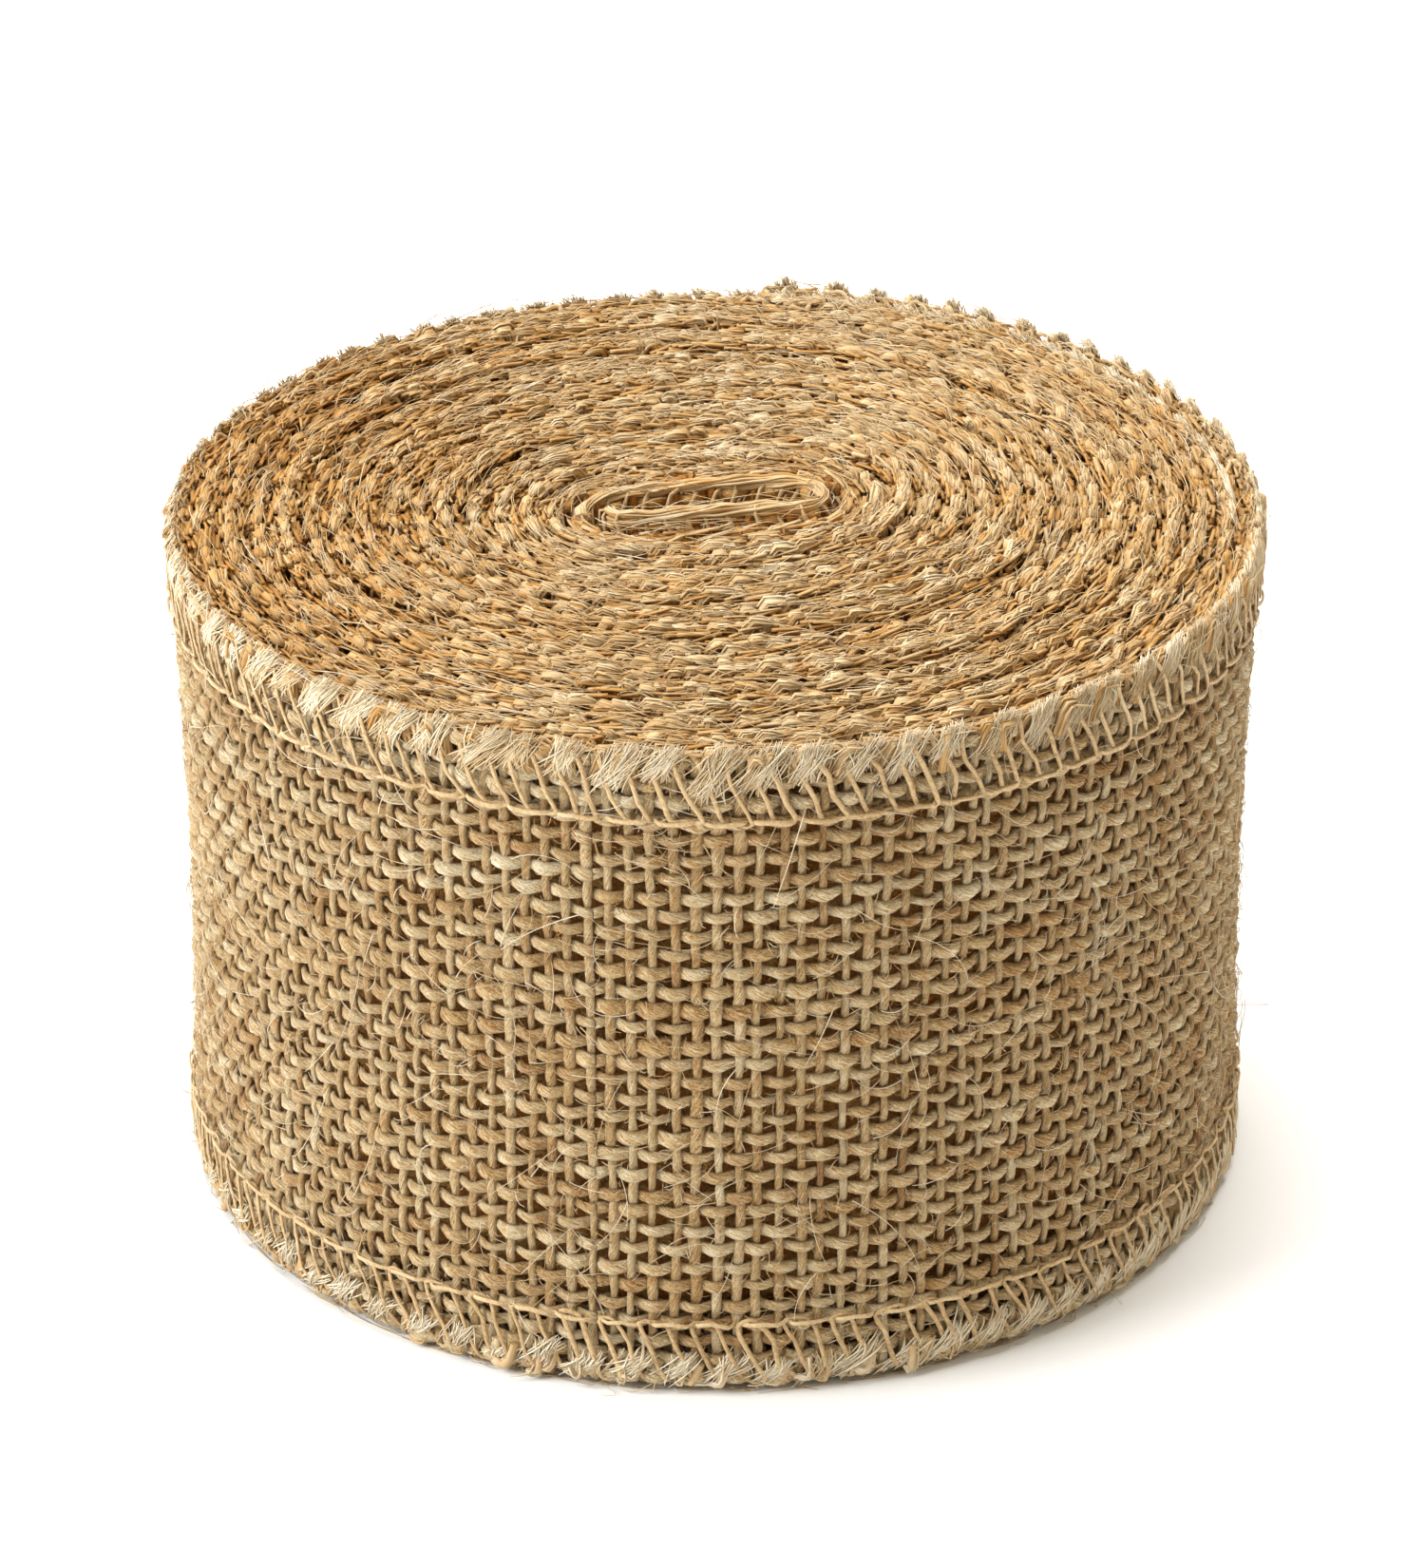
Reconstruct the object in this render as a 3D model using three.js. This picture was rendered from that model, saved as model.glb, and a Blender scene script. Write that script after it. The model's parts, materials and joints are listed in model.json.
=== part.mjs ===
import * as THREE from 'three';

// A coreless roll of woven jute ribbon with overlocked edges, standing on one edge.
// Millimetres, +Z up along the roll's axis, the origin at the middle of the face it stands on.
// The ribbon is one long strip wound anticlockwise outwards from a flattened eye. Its last quarter
// turn is the free tail: short stiff lengths that hinge on the outside, so it can peel off the roll.

// Ribbon
const ribbonWidth = 75;
const clothThickness = 1.1;
const overlockDepth = 7.5;
const threadThickness = 0.35;
const needleThreadHeight = 0.8;

// Roll
const turns = 16 + 2 / 3;
const turnGap = 0.45;
const eyeFlatHalf = 9;
const eyeHalfWidth = 2.2;
const eyeAngle = 11;
const freeEndAngle = 84;

// Tail and fits
const tailLengths = 6;
const seamGap = 0.3;

// How finely the winding is cut into straight lengths, and how sharply the eye's ends turn
const fineStep = 15;
const coarseTurns = 6;
const eyeEndSharpness = 3;

const fullTurn = 360;
const stepsPerTurn = fullTurn / fineStep;
const windingSteps = Math.round(turns * stepsPerTurn);
const coilSteps = windingSteps - tailLengths;
const coarseSteps = 2 * Math.round((coarseTurns * stepsPerTurn) / 2);
const clothFace = clothThickness / 2;
const threadFace = clothFace + seamGap + threadThickness;
const turnPitch = 2 * threadFace + turnGap;
const rollRadius = eyeFlatHalf + eyeHalfWidth + turnPitch * turns;

const jute = { color: 0xb8935c, roughness: 0.95, metalness: 0 };
const looperThread = { color: 0xd2bb91, roughness: 0.7, metalness: 0 };
const needleThread = { color: 0xdcc8a0, roughness: 0.6, metalness: 0 };

// The middle of the cloth at a step of the winding, counted outwards from the inner end. A turn is
// a flat length with round ends, and the flat shrinks to nothing as the turns grow into circles.
function windingPoint(step) {
  const share = step / windingSteps;
  const flatHalf = eyeFlatHalf * (1 - share);
  const reach = eyeHalfWidth + (rollRadius - eyeHalfWidth) * share;
  const behindEnd = (windingSteps - step) * fineStep;
  const angle = THREE.MathUtils.degToRad(freeEndAngle - eyeAngle - behindEnd);
  const flatShare = Math.tanh(eyeEndSharpness * Math.cos(angle)) / Math.tanh(eyeEndSharpness);
  const point = new THREE.Vector2(
    reach * Math.cos(angle) + flatHalf * flatShare,
    reach * Math.sin(angle),
  );
  return point.rotateAround(new THREE.Vector2(), THREE.MathUtils.degToRad(eyeAngle));
}

// The steps that carry a corner between two ends: every second one in the tight inner turns.
function cornerSteps(from, to) {
  const steps = [];
  for (let step = from; step <= to; step += step < coarseSteps ? 2 : 1) {
    steps.push(step);
  }
  return steps;
}

function outwardNormal(a, b) {
  const along = b.clone().sub(a).normalize();
  return new THREE.Vector2(along.y, -along.x);
}

// The direction in which a corner is offset, long enough to keep both neighbouring lengths parallel.
function mitre(before, at, after) {
  const first = before ? outwardNormal(before, at) : outwardNormal(at, after);
  const second = after ? outwardNormal(at, after) : first;
  return first.clone().add(second).divideScalar(1 + first.dot(second));
}

// One edge line of a strip, held at a distance outside the middle of the cloth. A trimmed end
// stops half a seam short of its corner, along the length that it belongs to.
function offsetLine(from, to, distance) {
  const steps = cornerSteps(from, to);
  const corners = steps.map(windingPoint);
  const before = from > 0 ? windingPoint(from - 1) : null;
  const after = to < windingSteps ? windingPoint(to + 1) : null;
  const line = corners.map((corner, i) => {
    const previous = i > 0 ? corners[i - 1] : before;
    const next = i < corners.length - 1 ? corners[i + 1] : after;
    return corner.clone().addScaledVector(mitre(previous, corner, next), distance);
  });
  const last = line.length - 1;
  if (before) {
    const inwards = line[1].clone().sub(line[0]).normalize();
    line[0].addScaledVector(inwards, seamGap / 2);
  }
  if (after) {
    const inwards = line[last - 1].clone().sub(line[last]).normalize();
    line[last].addScaledVector(inwards, seamGap / 2);
  }
  return line;
}

// A strip that follows the winding between two steps, between two offsets and two heights.
function strip(name, finish, from, to, [inner, outer], [low, high]) {
  const outline = [
    ...offsetLine(from, to, inner),
    ...offsetLine(from, to, outer).reverse(),
  ];
  const solid = new THREE.ExtrudeGeometry(new THREE.Shape(outline), {
    depth: high - low,
    bevelEnabled: false,
  });
  const mesh = new THREE.Mesh(solid, new THREE.MeshStandardMaterial(finish));
  mesh.name = name;
  mesh.position.z = low;
  return mesh;
}

// The cloth on one stretch of the winding, and its stitching: along each edge, a looper thread on
// either face and the row of needle thread on the outer face, just inside the loopers.
function ribbonStretch(name, from, to) {
  const onOuterFace = [clothFace + seamGap, threadFace];
  const onInnerFace = [-threadFace, -clothFace - seamGap];
  const needleLow = overlockDepth + seamGap;
  const needleHigh = needleLow + needleThreadHeight;
  const edges = [
    { edge: 'bottom', loopers: [0, overlockDepth], needle: [needleLow, needleHigh] },
    {
      edge: 'top',
      loopers: [ribbonWidth - overlockDepth, ribbonWidth],
      needle: [ribbonWidth - needleHigh, ribbonWidth - needleLow],
    },
  ];
  const stretch = new THREE.Group();
  stretch.add(strip(`${name}_cloth`, jute, from, to, [-clothFace, clothFace], [0, ribbonWidth]));
  for (const { edge, loopers, needle } of edges) {
    stretch.add(
      strip(`${name}_${edge}_upper_looper`, looperThread, from, to, onOuterFace, loopers),
      strip(`${name}_${edge}_lower_looper`, looperThread, from, to, onInnerFace, loopers),
      strip(`${name}_${edge}_needle_thread`, needleThread, from, to, onOuterFace, needle),
    );
  }
  return stretch;
}

const ribbonRoll = new THREE.Group();
ribbonRoll.name = 'jute_ribbon_roll';
ribbonRoll.add(ribbonStretch('coil', 0, coilSteps));
for (let i = 0; i < tailLengths; i += 1) {
  ribbonRoll.add(ribbonStretch(`tail_${i + 1}`, coilSteps + i, coilSteps + i + 1));
}

// A spiral is wider on the side of its free end, so the roll is moved to centre its footprint.
const footprint = new THREE.Box3().setFromObject(ribbonRoll).getCenter(new THREE.Vector3());
ribbonRoll.position.set(-footprint.x, -footprint.y, 0);

export default ribbonRoll;
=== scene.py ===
import json
import math

import bpy
import numpy as np
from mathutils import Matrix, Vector


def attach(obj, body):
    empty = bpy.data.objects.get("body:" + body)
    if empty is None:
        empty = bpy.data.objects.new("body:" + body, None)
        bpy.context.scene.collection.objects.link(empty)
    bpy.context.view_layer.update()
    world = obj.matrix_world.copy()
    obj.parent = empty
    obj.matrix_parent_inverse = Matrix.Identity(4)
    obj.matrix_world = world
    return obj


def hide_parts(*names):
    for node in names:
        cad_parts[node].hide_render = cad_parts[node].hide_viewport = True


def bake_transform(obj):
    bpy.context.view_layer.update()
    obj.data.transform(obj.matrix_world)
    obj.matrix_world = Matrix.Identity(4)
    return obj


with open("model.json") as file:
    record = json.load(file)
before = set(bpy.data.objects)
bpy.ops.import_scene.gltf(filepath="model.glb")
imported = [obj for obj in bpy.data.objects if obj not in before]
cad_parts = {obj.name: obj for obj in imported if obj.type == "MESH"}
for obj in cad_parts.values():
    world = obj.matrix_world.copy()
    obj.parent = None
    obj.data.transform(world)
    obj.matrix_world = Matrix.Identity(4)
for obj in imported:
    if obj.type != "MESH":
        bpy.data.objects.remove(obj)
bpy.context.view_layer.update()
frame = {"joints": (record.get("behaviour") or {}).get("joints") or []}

mm = 0.001
dice = np.random.default_rng(1675)
scene = bpy.context.scene
scene.view_settings.view_transform = "Standard"
scene.view_settings.look = "None"


studio = {
    "target": (0.0, 0.0, 0.0375),
    "distance": 0.6429,
    "elevation": 28.2,  # degrees above the floor
    "aimSide": -0.0005,
    "aimUp": 0.0041,
    "lens": 134.8,
    "sensor": 36.0,
    "background": (1.0, 0.94, 0.82),
    "backgroundStrength": 0.38,
    "floorSize": 6.0,
}

areaLights = [
    # name, place, size, watts, tint
    ("key_softbox", (-1.05, -0.3, 0.62), 0.8, 22.0, (0.95, 0.975, 1.0)),
    ("overhead_softbox", (0.0, 0.25, 1.15), 0.8, 18.5, (1.0, 1.0, 1.0)),
    ("fill_softbox", (0.85, -0.7, 0.5), 0.7, 2.0, (1.0, 0.82, 0.52)),
]


def aimAt(item, place, direction):
    item.location = place
    item.rotation_mode = "QUATERNION"
    item.rotation_quaternion = direction.to_track_quat("-Z", "Y")


def setCamera():
    lift = math.radians(studio["elevation"])
    target = Vector(studio["target"])
    forward = Vector((0.0, math.cos(lift), -math.sin(lift)))
    up = Vector((0.0, math.sin(lift), math.cos(lift)))
    right = Vector((1.0, 0.0, 0.0))
    aim = forward + right * studio["aimSide"] + up * studio["aimUp"]
    camera = bpy.data.objects.new("camera", bpy.data.cameras.new("camera"))
    scene.collection.objects.link(camera)
    aimAt(camera, target - forward * studio["distance"], aim)
    camera.data.lens = studio["lens"]
    camera.data.sensor_width = studio["sensor"]
    camera.data.clip_start = 0.01
    camera.data.clip_end = 30.0
    scene.camera = camera


def setLights():
    for name, place, size, watts, tint in areaLights:
        light = bpy.data.lights.new(name, "AREA")
        light.shape = "DISK"
        light.size = size
        light.energy = watts
        light.color = tint
        lamp = bpy.data.objects.new(name, light)
        scene.collection.objects.link(lamp)
        aimAt(lamp, Vector(place), Vector(studio["target"]) - Vector(place))
    world = bpy.data.worlds.new("studio")
    scene.world = world
    world.use_nodes = True
    glow = world.node_tree.nodes["Background"]
    glow.inputs["Color"].default_value = (*studio["background"], 1.0)
    glow.inputs["Strength"].default_value = studio["backgroundStrength"]


setCamera()
setLights()
print("camera and lights set")


class Signal:
    # one output socket, so that shader maths reads as ordinary expressions
    def __init__(self, finish, socket):
        self.finish = finish
        self.socket = socket

    def work(self, operation, first, second):
        node = self.finish.add("ShaderNodeMath", {"operation": operation}, {0: first, 1: second})
        return Signal(self.finish, node.outputs[0])

    def __add__(self, other):
        return self.work("ADD", self, other)

    def __sub__(self, other):
        return self.work("SUBTRACT", self, other)

    def __rsub__(self, other):
        return self.work("SUBTRACT", other, self)

    def __mul__(self, other):
        return self.work("MULTIPLY", self, other)

    __radd__ = __add__
    __rmul__ = __mul__


class Finish:
    # one material, with its nodes added as they are asked for
    def __init__(self, name):
        self.material = bpy.data.materials.new(name)
        self.material.use_nodes = True
        self.tree = self.material.node_tree
        self.tree.nodes.clear()

    def add(self, kind, settings=None, inputs=None):
        node = self.tree.nodes.new(kind)
        for key, value in (settings or {}).items():
            if key == "stops":
                self.setStops(node.color_ramp, value)
            else:
                setattr(node, key, value)
        for key, value in (inputs or {}).items():
            if isinstance(value, Signal):
                self.tree.links.new(value.socket, node.inputs[key])
            else:
                node.inputs[key].default_value = value
        return node

    def setStops(self, ramp, stops):
        while len(ramp.elements) < len(stops):
            ramp.elements.new(0.5)
        for element, (place, colour) in zip(ramp.elements, stops):
            element.position = place
            element.color = (*colour, 1.0)

    def get(self, kind, output, settings=None, inputs=None):
        return Signal(self, self.add(kind, settings, inputs).outputs[output])

    def mixColour(self, share, first, second):
        colours = [c if isinstance(c, Signal) else (*c, 1.0) for c in (first, second)]
        sockets = {0: share, 6: colours[0], 7: colours[1]}
        return self.get("ShaderNodeMix", 2, {"data_type": "RGBA"}, sockets)

    def fromPoint(self, name, output):
        return self.get("ShaderNodeAttribute", output, {"attribute_name": name})

    def noise(self, place, scale, detail, roughness=0.5):
        inputs = {"Vector": place, "Scale": scale, "Detail": detail, "Roughness": roughness}
        return self.get("ShaderNodeTexNoise", "Fac", None, inputs)

    def between(self, value, low, high):
        inputs = {"Value": value, "From Min": low, "From Max": high}
        return self.get("ShaderNodeMapRange", "Result", {"interpolation_type": "SMOOTHSTEP"}, inputs)

    def surface(self, shader):
        self.add("ShaderNodeOutputMaterial", None, {"Surface": shader})
        return self.material


def fromScreen(red, green, blue):
    # a colour as a screen shows it, in 0 to 255, as linear light
    return tuple(((c / 255 + 0.055) / 1.055) ** 2.4 if c > 10 else c / 3294.6 for c in (red, green, blue))


winding = {
    # where the ribbon runs, in millimetres and degrees; turnsBack counts turns from the free end
    "width": 75.0,  # the ribbon's width, and so the roll's height
    "turns": 16 + 2 / 3,
    "pitch": 2.85,  # from one turn to the next along the eye's long axis
    "eyeFlatHalf": 9.0,
    "eyeHalfWidth": 2.2,
    "eyeSharpness": 3.0,
    "eyeAngle": 11.0,
    "freeEndAngle": 84.0,
    "tailPieces": 6,
    "piecesPerTurn": 24,
    "threadFace": 1.2,  # how far the hinge lines lie outside the cloth's middle
    "waist": 0.8,  # how far the outer turn pulls in between its stitched bands
    "unevenness": 0.6,  # how far turns stand above one another
    "eyeLean": 1.3,  # how far the first leg of the eye leans into the hollow
    "overrun": 0.03,  # turns tabulated past both ends
}


def windingLine(turnsBack):
    share = 1 - turnsBack / winding["turns"]
    rollRadius = winding["eyeFlatHalf"] + winding["eyeHalfWidth"] + winding["pitch"] * winding["turns"]
    flatHalf = winding["eyeFlatHalf"] * (1 - share)
    reach = winding["eyeHalfWidth"] + (rollRadius - winding["eyeHalfWidth"]) * share
    angle = np.radians(winding["freeEndAngle"] - winding["eyeAngle"] - 360 * turnsBack)
    sharpness = winding["eyeSharpness"]
    flatShare = np.tanh(sharpness * np.cos(angle)) / math.tanh(sharpness)
    x = reach * np.cos(angle) + flatHalf * flatShare
    y = reach * np.sin(angle)
    turn = math.radians(winding["eyeAngle"])
    return np.stack((x * math.cos(turn) - y * math.sin(turn), x * math.sin(turn) + y * math.cos(turn)), -1)


turnsTable = np.linspace(winding["turns"] + winding["overrun"], -winding["overrun"], 30001)
lineTable = windingLine(turnsTable)
lengthTable = np.concatenate(([0.0], np.cumsum(np.hypot(*np.diff(lineTable, axis=0).T))))
lengthTable -= np.interp(-winding["turns"], -turnsTable, lengthTable)
headingTable = np.gradient(lineTable, lengthTable, axis=0)
headingTable /= np.linalg.norm(headingTable, axis=1, keepdims=True)
outwardTable = np.stack((headingTable[:, 1], -headingTable[:, 0]), -1)


def lengthAt(turnsBack):
    return float(np.interp(-turnsBack, -turnsTable, lengthTable))


ribbonLength = lengthAt(0.0)


def lookUp(along, table):
    return np.stack([np.interp(along, lengthTable, column) for column in table.T], -1)


def hingeShift():
    # the roll is centred on its footprint: its hinges say how far that moved it
    moves = []
    for joint in frame["joints"]:
        number = int(joint["name"].split("_")[1])
        along = lengthAt((winding["tailPieces"] + 1 - number) / winding["piecesPerTurn"])
        hinge = np.array(joint["pos_m"][:2]) / mm
        place = lookUp(along, lineTable) + lookUp(along, outwardTable) * winding["threadFace"]
        moves.append(hinge - place)
    return np.mean(moves, axis=0)


lineTable += hingeShift()
width = winding["width"]


def wander(rows, count, stride, size):
    # a smooth random drift along each row, with a knot every stride places
    knots = dice.normal(0.0, size, (rows, int(count / stride) + 3))
    place = np.arange(count) / stride
    low = place.astype(int)
    share = place - low
    share = share * share * (3 - 2 * share)
    return knots[:, low] * (1 - share) + knots[:, low + 1] * share


liftTable = np.abs(wander(1, len(lengthTable), 620, 1.0)[0]) * winding["unevenness"]
liftTable *= np.clip((turnsTable - 0.9) / 0.8, 0.05, 1.0)


def wrap(along, up, out):
    # ribbon coordinates to the roll: along the ribbon, up its width, and outwards from the cloth's middle
    along, up, out = np.broadcast_arrays(along, up, out)
    centre = lookUp(along, lineTable)
    outward = lookUp(along, outwardTable)
    lift = np.interp(along, lengthTable, liftTable)
    waisted = np.clip((along - lengthAt(1.3)) / 30, 0, 1)
    share = np.clip(up / width, 0, 1)
    dip = winding["waist"] * waisted * np.sin(np.pi * share) ** 1.5
    dip = dip + winding["eyeLean"] * np.clip(1.15 - np.abs(along - 11) / 13, 0, 1)
    flat = centre + outward * (out - dip)[..., None]
    return np.concatenate((flat, (up + lift)[..., None]), -1)


def facingOut(along):
    outward = lookUp(along, outwardTable)
    return np.concatenate((outward, np.zeros((*outward.shape[:-1], 1))), -1)


def unit(vectors):
    return vectors / np.maximum(np.linalg.norm(vectors, axis=-1, keepdims=True), 1e-9)


def sweepTubes(path, facing, halfWide, halfHigh, tone, sides, twist, grain, lumps=0.0):
    # every yarn, thread and fibre is a tube along its own row of the path
    rows, count = path.shape[:2]
    heading = unit(np.gradient(path, axis=1))
    high = unit(facing - heading * np.sum(facing * heading, -1, keepdims=True))
    wide = np.cross(heading, high)
    halfWide, halfHigh, tone = (np.broadcast_to(v, (rows, count)) for v in (halfWide, halfHigh, tone))
    angle = 2 * np.pi * np.arange(sides) / sides
    across = wide[:, :, None] * (halfWide[..., None] * np.cos(angle))[..., None]
    across = across + high[:, :, None] * (halfHigh[..., None] * np.sin(angle))[..., None]
    if lumps:
        bulge = wander(rows * sides, count, 2.5, lumps).reshape(rows, sides, count)
        across = across * (1 + bulge.transpose(0, 2, 1))[..., None]
    points = path[:, :, None] + across
    gone = np.cumsum(np.linalg.norm(np.diff(path, axis=1, prepend=path[:, :1]), axis=-1), axis=1)
    spin = angle + (gone * twist)[..., None]
    seed = dice.uniform(0, 900, (rows, 1, 1))
    lengthwise = (gone * 0.45)[..., None] + seed + 0 * spin
    fibre = np.stack((np.cos(spin) * grain, np.sin(spin) * grain, lengthwise), -1)
    ring = (np.arange(rows)[:, None] * count + np.arange(count))[..., None] * sides
    near = ring + np.arange(sides)
    far = ring + (np.arange(sides) + 1) % sides
    quads = np.stack((near[:, :-1], near[:, 1:], far[:, 1:], far[:, :-1]), -1)
    caps = np.concatenate((near[:, 0], near[:, -1, ::-1]))
    return {
        "points": points.reshape(-1, 3),
        "tone": np.repeat(tone.reshape(-1), sides),
        "fibre": fibre.reshape(-1, 3),
        "quads": quads.reshape(-1, 4),
        "caps": caps,
    }


def makePiece(name, parts, material):
    corners, sizes, flat = [], [], []
    start = 0
    for part in parts:
        for kind in ("quads", "caps"):
            faces = part[kind]
            corners.append(faces.ravel() + start)
            sizes.append(np.full(len(faces), faces.shape[1]))
            flat.append(np.full(len(faces), kind == "caps"))
        start += len(part["points"])
    corners, sizes, flat = (np.concatenate(v) for v in (corners, sizes, flat))
    points = np.concatenate([p["points"] for p in parts]) * mm
    mesh = bpy.data.meshes.new(name)
    mesh.vertices.add(start)
    mesh.vertices.foreach_set("co", points.astype(np.float32).ravel())
    mesh.loops.add(len(corners))
    mesh.loops.foreach_set("vertex_index", corners.astype(np.int32))
    mesh.polygons.add(len(sizes))
    mesh.polygons.foreach_set("loop_start", (np.cumsum(sizes) - sizes).astype(np.int32))
    mesh.update(calc_edges=True)
    mesh.attributes.new("sharp_face", "BOOLEAN", "FACE").data.foreach_set("value", flat)
    tone = mesh.attributes.new("yarnTone", "FLOAT", "POINT")
    tone.data.foreach_set("value", np.concatenate([p["tone"] for p in parts]).astype(np.float32))
    fibre = mesh.attributes.new("fibreSpace", "FLOAT_VECTOR", "POINT")
    fibre.data.foreach_set("vector", np.concatenate([p["fibre"] for p in parts]).astype(np.float32).ravel())
    piece = bpy.data.objects.new(name, mesh)
    mesh.materials.append(material)
    scene.collection.objects.link(piece)
    return piece


juteLook = {
    "yarn": {
        "shade": fromScreen(120, 72, 26),
        "golden": fromScreen(170, 130, 74),
        "sandy": fromScreen(190, 162, 115),
        "bleached": fromScreen(208, 188, 150),
        "cream": fromScreen(226, 214, 184),
        "rust": fromScreen(168, 114, 56),
        "streakScale": 1.5,
        "contrast": 2.5,
        "bumpDepth": 0.0004,
        "sheen": 0.15,
    },
    "hollow": {
        # painted shade: a darker, more saturated copy of the yarn look for the cloth in the eye, standing
        # for its hollow, lit only by what comes through the fibres
        "shade": fromScreen(150, 86, 20),
        "golden": fromScreen(190, 120, 42),
        "sandy": fromScreen(204, 146, 68),
        "bleached": fromScreen(212, 172, 112),
        "cream": fromScreen(226, 196, 144),
        "rust": fromScreen(170, 104, 40),
        "streakScale": 1.5,
        "contrast": 2.0,
        "bumpDepth": 0.0004,
        "sheen": 0.0,
    },
    "fibre": {
        # the loose fibres of the frayed edges
        "shade": fromScreen(160, 108, 44),
        "golden": fromScreen(184, 140, 80),
        "sandy": fromScreen(196, 167, 122),
        "bleached": fromScreen(209, 189, 154),
        "cream": fromScreen(229, 215, 188),
        "rust": fromScreen(184, 128, 62),
        "streakScale": 0.9,
        "contrast": 0.55,
        "bumpDepth": 0.0001,
        "sheen": 0.0,
    },
}


def makeJute(name, look):
    jute = Finish(name)
    fibre = jute.fromPoint("fibreSpace", "Vector")
    tone = jute.fromPoint("yarnTone", "Fac")
    place = jute.get("ShaderNodeTexCoord", "Object")
    streak = jute.noise(fibre, look["streakScale"], 3.0, 0.6)
    blotch = jute.noise(place, 260.0, 2.0)
    rustPatch = jute.between(jute.noise(place, 420.0, 1.0), 0.62, 0.74)
    mixed = tone + (streak - 0.5) * look["contrast"] + (blotch - 0.5) * 0.5
    stops = [
        (0.0, look["shade"]),
        (0.3, look["golden"]),
        (0.56, look["sandy"]),
        (0.8, look["bleached"]),
        (1.0, look["cream"]),
    ]
    colour = jute.get("ShaderNodeValToRGB", "Color", {"stops": stops}, {"Fac": mixed})
    colour = jute.mixColour(rustPatch * 0.3, colour, look["rust"])
    bump = jute.get("ShaderNodeBump", 0, None, {
        "Strength": 0.9,
        "Distance": look["bumpDepth"],
        "Height": streak,
    })
    shader = jute.get("ShaderNodeBsdfPrincipled", 0, None, {
        "Base Color": colour,
        "Roughness": 0.62 + (streak - 0.5) * 0.3,
        "Normal": bump,
        "Specular IOR Level": 0.25,
        "Sheen Weight": look["sheen"],
        "Sheen Roughness": 0.5,
        "Sheen Tint": (1.0, 0.93, 0.8, 1.0),
    })
    return jute.surface(shader)


threadLook = {
    "shade": fromScreen(146, 116, 74),
    "body": fromScreen(190, 158, 110),
    "lit": fromScreen(214, 190, 148),
}


def makeThread(name, brightness):
    thread = Finish(name)
    fibre = thread.fromPoint("fibreSpace", "Vector")
    tone = thread.fromPoint("yarnTone", "Fac")
    ply = thread.noise(fibre, 0.9, 2.0, 0.5)
    stops = [
        (0.1, threadLook["shade"]),
        (0.5, threadLook["body"]),
        (0.95, threadLook["lit"]),
    ]
    mixed = tone + (ply - 0.5) * 1.6 + brightness
    colour = thread.get("ShaderNodeValToRGB", "Color", {"stops": stops}, {"Fac": mixed})
    bump = thread.get("ShaderNodeBump", 0, None, {"Strength": 0.7, "Distance": 0.00006, "Height": ply})
    shader = thread.get("ShaderNodeBsdfPrincipled", 0, None, {
        "Base Color": colour,
        "Roughness": 0.6 + (ply - 0.5) * 0.2,
        "Normal": bump,
        "Specular IOR Level": 0.35,
        "Sheen Weight": 0.2,
        "Sheen Roughness": 0.5,
    })
    return thread.surface(shader)


innerClothLook = {
    # painted shade: the colour of the gaps between the yarns, deep in the roll
    "hollow": fromScreen(158, 98, 34),
    "yarn": fromScreen(196, 150, 86),
}


def makeInnerCloth():
    # the turns inside the roll, where only slivers of the cloth show; the hollow colour is painted shade
    # for the dark gaps between the yarns and the turns
    cloth = Finish("jute_inner_turns_painted_shade")
    place = cloth.fromPoint("fibreSpace", "Vector")
    checks = cloth.get("ShaderNodeTexChecker", "Fac", None, {"Vector": place, "Scale": 1.0})
    fuzz = cloth.noise(place, 2.4, 4.0, 0.65)
    share = cloth.between(fuzz + checks * 0.15, 0.35, 0.85)
    colour = cloth.mixColour(share, innerClothLook["hollow"], innerClothLook["yarn"])
    bump = cloth.get("ShaderNodeBump", 0, None, {"Strength": 1.0, "Distance": 0.0006, "Height": share})
    shader = cloth.get("ShaderNodeBsdfPrincipled", 0, None, {
        "Base Color": colour,
        "Roughness": 0.85 - fuzz * 0.1,
        "Normal": bump,
        "Specular IOR Level": 0.2,
    })
    return cloth.surface(shader)


def makeFloor():
    paper = Finish("studio_paper")
    place = paper.get("ShaderNodeTexCoord", "Object")
    tooth = paper.noise(place, 900.0, 3.0)
    colour = paper.mixColour(tooth, (0.93, 0.93, 0.925), (0.95, 0.95, 0.945))
    bump = paper.get("ShaderNodeBump", 0, None, {"Strength": 0.1, "Distance": 0.0001, "Height": tooth})
    shader = paper.get("ShaderNodeBsdfPrincipled", 0, None, {
        "Base Color": colour,
        "Roughness": 0.95,
        "Normal": bump,
    })
    half = studio["floorSize"] / 2
    mesh = bpy.data.meshes.new("floor")
    corners = [(-half, -half, 0), (half, -half, 0), (half, half, 0), (-half, half, 0)]
    mesh.from_pydata(corners, [], [(0, 1, 2, 3)])
    mesh.materials.append(paper.surface(shader))
    floor = bpy.data.objects.new("floor", mesh)
    scene.collection.objects.link(floor)


jute = makeJute("jute_yarn", juteLook["yarn"])
juteFibre = makeJute("jute_fibre", juteLook["fibre"])
juteEyePaintedShade = makeJute("jute_eye_painted_shade", juteLook["hollow"])
looperThread = makeThread("looper_thread", 0.0)
needleThread = makeThread("needle_thread", 0.06)
innerCloth = makeInnerCloth()
makeFloor()
print("finishes made")


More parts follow.
